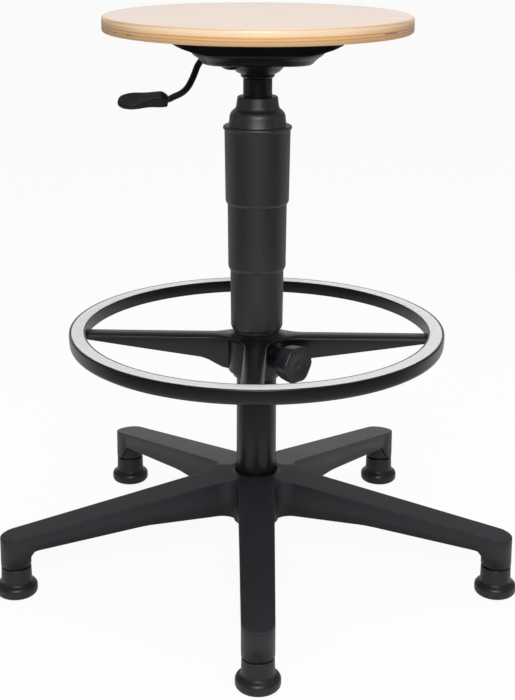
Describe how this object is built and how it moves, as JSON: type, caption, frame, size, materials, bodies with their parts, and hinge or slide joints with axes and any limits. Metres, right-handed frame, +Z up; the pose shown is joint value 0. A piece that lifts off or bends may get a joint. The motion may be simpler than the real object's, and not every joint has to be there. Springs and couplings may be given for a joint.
{
  "type": "perch stool",
  "caption": "Tall round plywood perch stool on a covered gas column, with a lever under the seat, a clamped foot ring and a star base on flat glides.",
  "frame": {"origin": "centre of the footprint's bounding rectangle, on the floor", "axes": "+Z up; one leg of the base points to -Y, the front; +X to the right seen from the front"},
  "size_m": [0.6384, 0.6096, 0.7],
  "materials": {
    "plywood": "clear satin lacquer on beech plywood",
    "black_steel": "semi-gloss black coat",
    "bright_steel": "ground",
    "zinc_steel": "zinc plated",
    "cover_plastic": "satin black",
    "ring_plastic": "semi-gloss black",
    "base_plastic": "fine grained charcoal",
    "knob_plastic": "satin charcoal",
    "lever_plastic": "satin brownish black",
    "bush_plastic": "natural acetal",
    "rubber": "matte"
  },
  "bodies": {
    "base": {"base_star": "base_plastic", "glide_1": "knob_plastic", "glide_2": "knob_plastic", "glide_3": "knob_plastic", "glide_4": "knob_plastic", "glide_5": "knob_plastic", "glide_stem_1": "zinc_steel", "glide_stem_2": "zinc_steel", "glide_stem_3": "zinc_steel", "glide_stem_4": "zinc_steel", "glide_stem_5": "zinc_steel", "outer_tube": "black_steel", "guide_bush": "bush_plastic", "bearing_race_lower": "bright_steel", "bearing_ball_cage": "bright_steel", "rod_clip_washer": "zinc_steel", "lower_cover": "cover_plastic"},
    "rod": {"piston_rod": "bright_steel", "piston": "bush_plastic", "bearing_race_upper": "bright_steel", "stop_buffer": "rubber", "rod_clip": "bright_steel"},
    "seat": {"pressure_tube": "black_steel", "rod_seal": "rubber", "spacer_sleeve": "cover_plastic", "upper_cover": "cover_plastic", "taper_socket": "black_steel", "seat_plate": "black_steel", "seat_panel": "plywood", "seat_insert_1": "zinc_steel", "seat_insert_2": "zinc_steel", "seat_insert_3": "zinc_steel", "seat_insert_4": "zinc_steel", "seat_screw_1": "zinc_steel", "seat_screw_2": "zinc_steel", "seat_screw_3": "zinc_steel", "seat_screw_4": "zinc_steel", "lever_bracket": "black_steel"},
    "middle_cover": {"middle_cover": "cover_plastic"},
    "lever": {"lever_rod": "black_steel", "lever_handle": "lever_plastic"},
    "release_pin": {"release_pin": "bright_steel"},
    "ring_carriage": {"ring_liner": "cover_plastic"},
    "foot_ring": {"foot_ring": "ring_plastic", "ring_tread": "bright_steel", "clamp_insert": "zinc_steel"},
    "clamp_pad": {"clamp_pad": "bush_plastic"},
    "clamp_knob": {"clamp_screw": "zinc_steel", "clamp_knob": "knob_plastic"}
  },
  "joints": [
    {"name": "seat_swivel", "type": "hinge", "parent": "base", "child": "rod", "pos_m": [0, 0.02951, 0.058], "axis": [0, 0, 1], "continuous": true},
    {"name": "seat_height", "type": "slide", "parent": "rod", "child": "seat", "axis": [0, 0, 1], "range_m": [-0.15, 0]},
    {"name": "middle_cover_slide", "type": "slide", "parent": "base", "child": "middle_cover", "axis": [0, 0, 1], "range_m": [-0.075, 0]},
    {"name": "height_lever", "type": "hinge", "parent": "seat", "child": "lever", "pos_m": [-0.044, 0.02951, 0.66595], "axis": [0, 1, 0], "range_deg": [0, 4], "stiffness_Nm_per_rad": 0.8},
    {"name": "release_pin_press", "type": "slide", "parent": "seat", "child": "release_pin", "axis": [0, 0, -1], "range_m": [0, 0.0032]},
    {"name": "ring_height", "type": "slide", "parent": "base", "child": "ring_carriage", "axis": [0, 0, 1], "range_m": [-0.12, 0]},
    {"name": "ring_turn", "type": "hinge", "parent": "ring_carriage", "child": "foot_ring", "pos_m": [0, 0.02951, 0.28], "axis": [0, 0, 1], "continuous": true},
    {"name": "clamp_travel", "type": "slide", "parent": "foot_ring", "child": "clamp_pad", "axis": [0.6691, -0.7431, 0], "range_m": [0, 0.0038]},
    {"name": "clamp_knob_turn", "type": "hinge", "parent": "clamp_pad", "child": "clamp_knob", "pos_m": [0.04015, -0.01508, 0.2795], "axis": [0.6691, -0.7431, 0], "range_deg": [0, 1080]}
  ],
  "couplings": [
    {"joint": "middle_cover_slide", "follows": "seat_height", "ratio": 0.5},
    {"joint": "release_pin_press", "follows": "height_lever", "m_per_rad": 0.044},
    {"joint": "clamp_travel", "follows": "clamp_knob_turn", "m_per_rad": 0.00019894}
  ]
}
